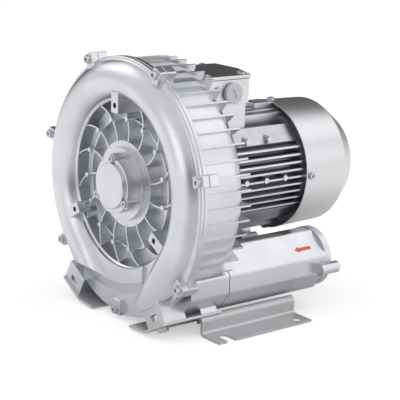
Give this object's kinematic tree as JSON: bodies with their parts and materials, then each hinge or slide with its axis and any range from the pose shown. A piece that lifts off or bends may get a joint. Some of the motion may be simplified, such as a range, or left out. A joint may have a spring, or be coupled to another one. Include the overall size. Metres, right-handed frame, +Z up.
{
  "type": "side-channel air blower",
  "caption": "Electric side-channel air blower with a finned cast casing, a flanged motor, two silenced ports and sheet-metal feet.",
  "frame": {"origin": "on the floor, midway between the two rear foot holes, under the shaft", "axes": "+Z up, +Y along the shaft from the casing's front cover towards the motor's fan cowl, +X towards the inlet silencer"},
  "size_m": [0.3242, 0.344, 0.324],
  "materials": {
    "cast_aluminium": "satin, blasted die casting",
    "sheet_aluminium": "satin, brushed sheet",
    "impeller_aluminium": "machined casting",
    "zinc_sheet": "zinc plated sheet",
    "zinc_screws": "zinc plated",
    "bearing_steel": "ground",
    "shaft_steel": "turned",
    "core_steel": "laminated sheet",
    "copper_windings": "enamelled copper wire",
    "black_rubber": "matt",
    "grey_foam": "open foam",
    "grey_plastic": "moulded",
    "black_plastic": "moulded",
    "brass": "turned"
  },
  "bodies": {
    "blower": {"front_cover": "cast_aluminium", "bearing_cap": "cast_aluminium", "bearing_cap_screws": "zinc_screws", "cover_screws": "zinc_screws", "impeller_housing": "cast_aluminium", "motor_screws": "zinc_screws", "front_shaft_seal": "black_rubber", "rear_shaft_seal": "black_rubber", "silencer_right": "cast_aluminium", "silencer_left": "cast_aluminium", "silencer_gasket_right": "black_rubber", "silencer_gasket_left": "black_rubber", "silencer_lining_right": "grey_foam", "silencer_lining_left": "grey_foam", "silencer_tube_right": "zinc_sheet", "silencer_tube_left": "zinc_sheet", "port_flange_right": "cast_aluminium", "port_flange_left": "cast_aluminium", "foot_right": "zinc_sheet", "foot_left": "zinc_sheet", "silencer_screws": "zinc_screws", "flange_screws": "zinc_screws", "foot_screws": "zinc_screws", "foot_nuts": "zinc_screws", "preload_washer": "bearing_steel", "front_bearing_outer_ring": "bearing_steel", "rear_bearing_outer_ring": "bearing_steel", "motor_housing": "cast_aluminium", "stator_core": "core_steel", "stator_windings": "copper_windings", "rear_endshield": "cast_aluminium", "endshield_screws": "zinc_screws", "fan_cowl": "sheet_aluminium", "cowl_screws": "zinc_screws", "terminal_box": "cast_aluminium", "terminal_box_gasket": "black_rubber", "terminal_box_lid": "cast_aluminium", "lid_screws": "zinc_screws", "terminal_block": "black_plastic", "terminal_studs": "brass", "blind_plug": "grey_plastic", "plug_seal": "black_rubber", "cable_gland": "grey_plastic", "gland_nut": "grey_plastic", "earth_screw": "zinc_screws"},
    "rotor": {"shaft": "shaft_steel", "impeller": "impeller_aluminium", "impeller_key": "shaft_steel", "spacer_sleeve": "shaft_steel", "rotor_core": "core_steel", "cooling_fan": "black_plastic", "front_circlip": "bearing_steel", "rear_circlip": "bearing_steel", "fan_circlip": "bearing_steel", "front_bearing_inner_ring": "bearing_steel", "rear_bearing_inner_ring": "bearing_steel"},
    "front_ball_set": {"front_bearing_cage": "black_plastic", "front_bearing_balls": "bearing_steel"},
    "rear_ball_set": {"rear_bearing_cage": "black_plastic", "rear_bearing_balls": "bearing_steel"}
  },
  "joints": [
    {"name": "rotor_spin", "type": "hinge", "parent": "blower", "child": "rotor", "pos_m": [0, -0.033, 0.17], "axis": [0, 1, 0], "continuous": true},
    {"name": "front_cage_spin", "type": "hinge", "parent": "blower", "child": "front_ball_set", "pos_m": [0, -0.1765, 0.17], "axis": [0, 1, 0], "continuous": true},
    {"name": "rear_cage_spin", "type": "hinge", "parent": "blower", "child": "rear_ball_set", "pos_m": [0, 0.06, 0.17], "axis": [0, 1, 0], "continuous": true}
  ],
  "couplings": [
    {"joint": "front_cage_spin", "follows": "rotor_spin", "ratio": 0.3987},
    {"joint": "rear_cage_spin", "follows": "rotor_spin", "ratio": 0.3955}
  ]
}
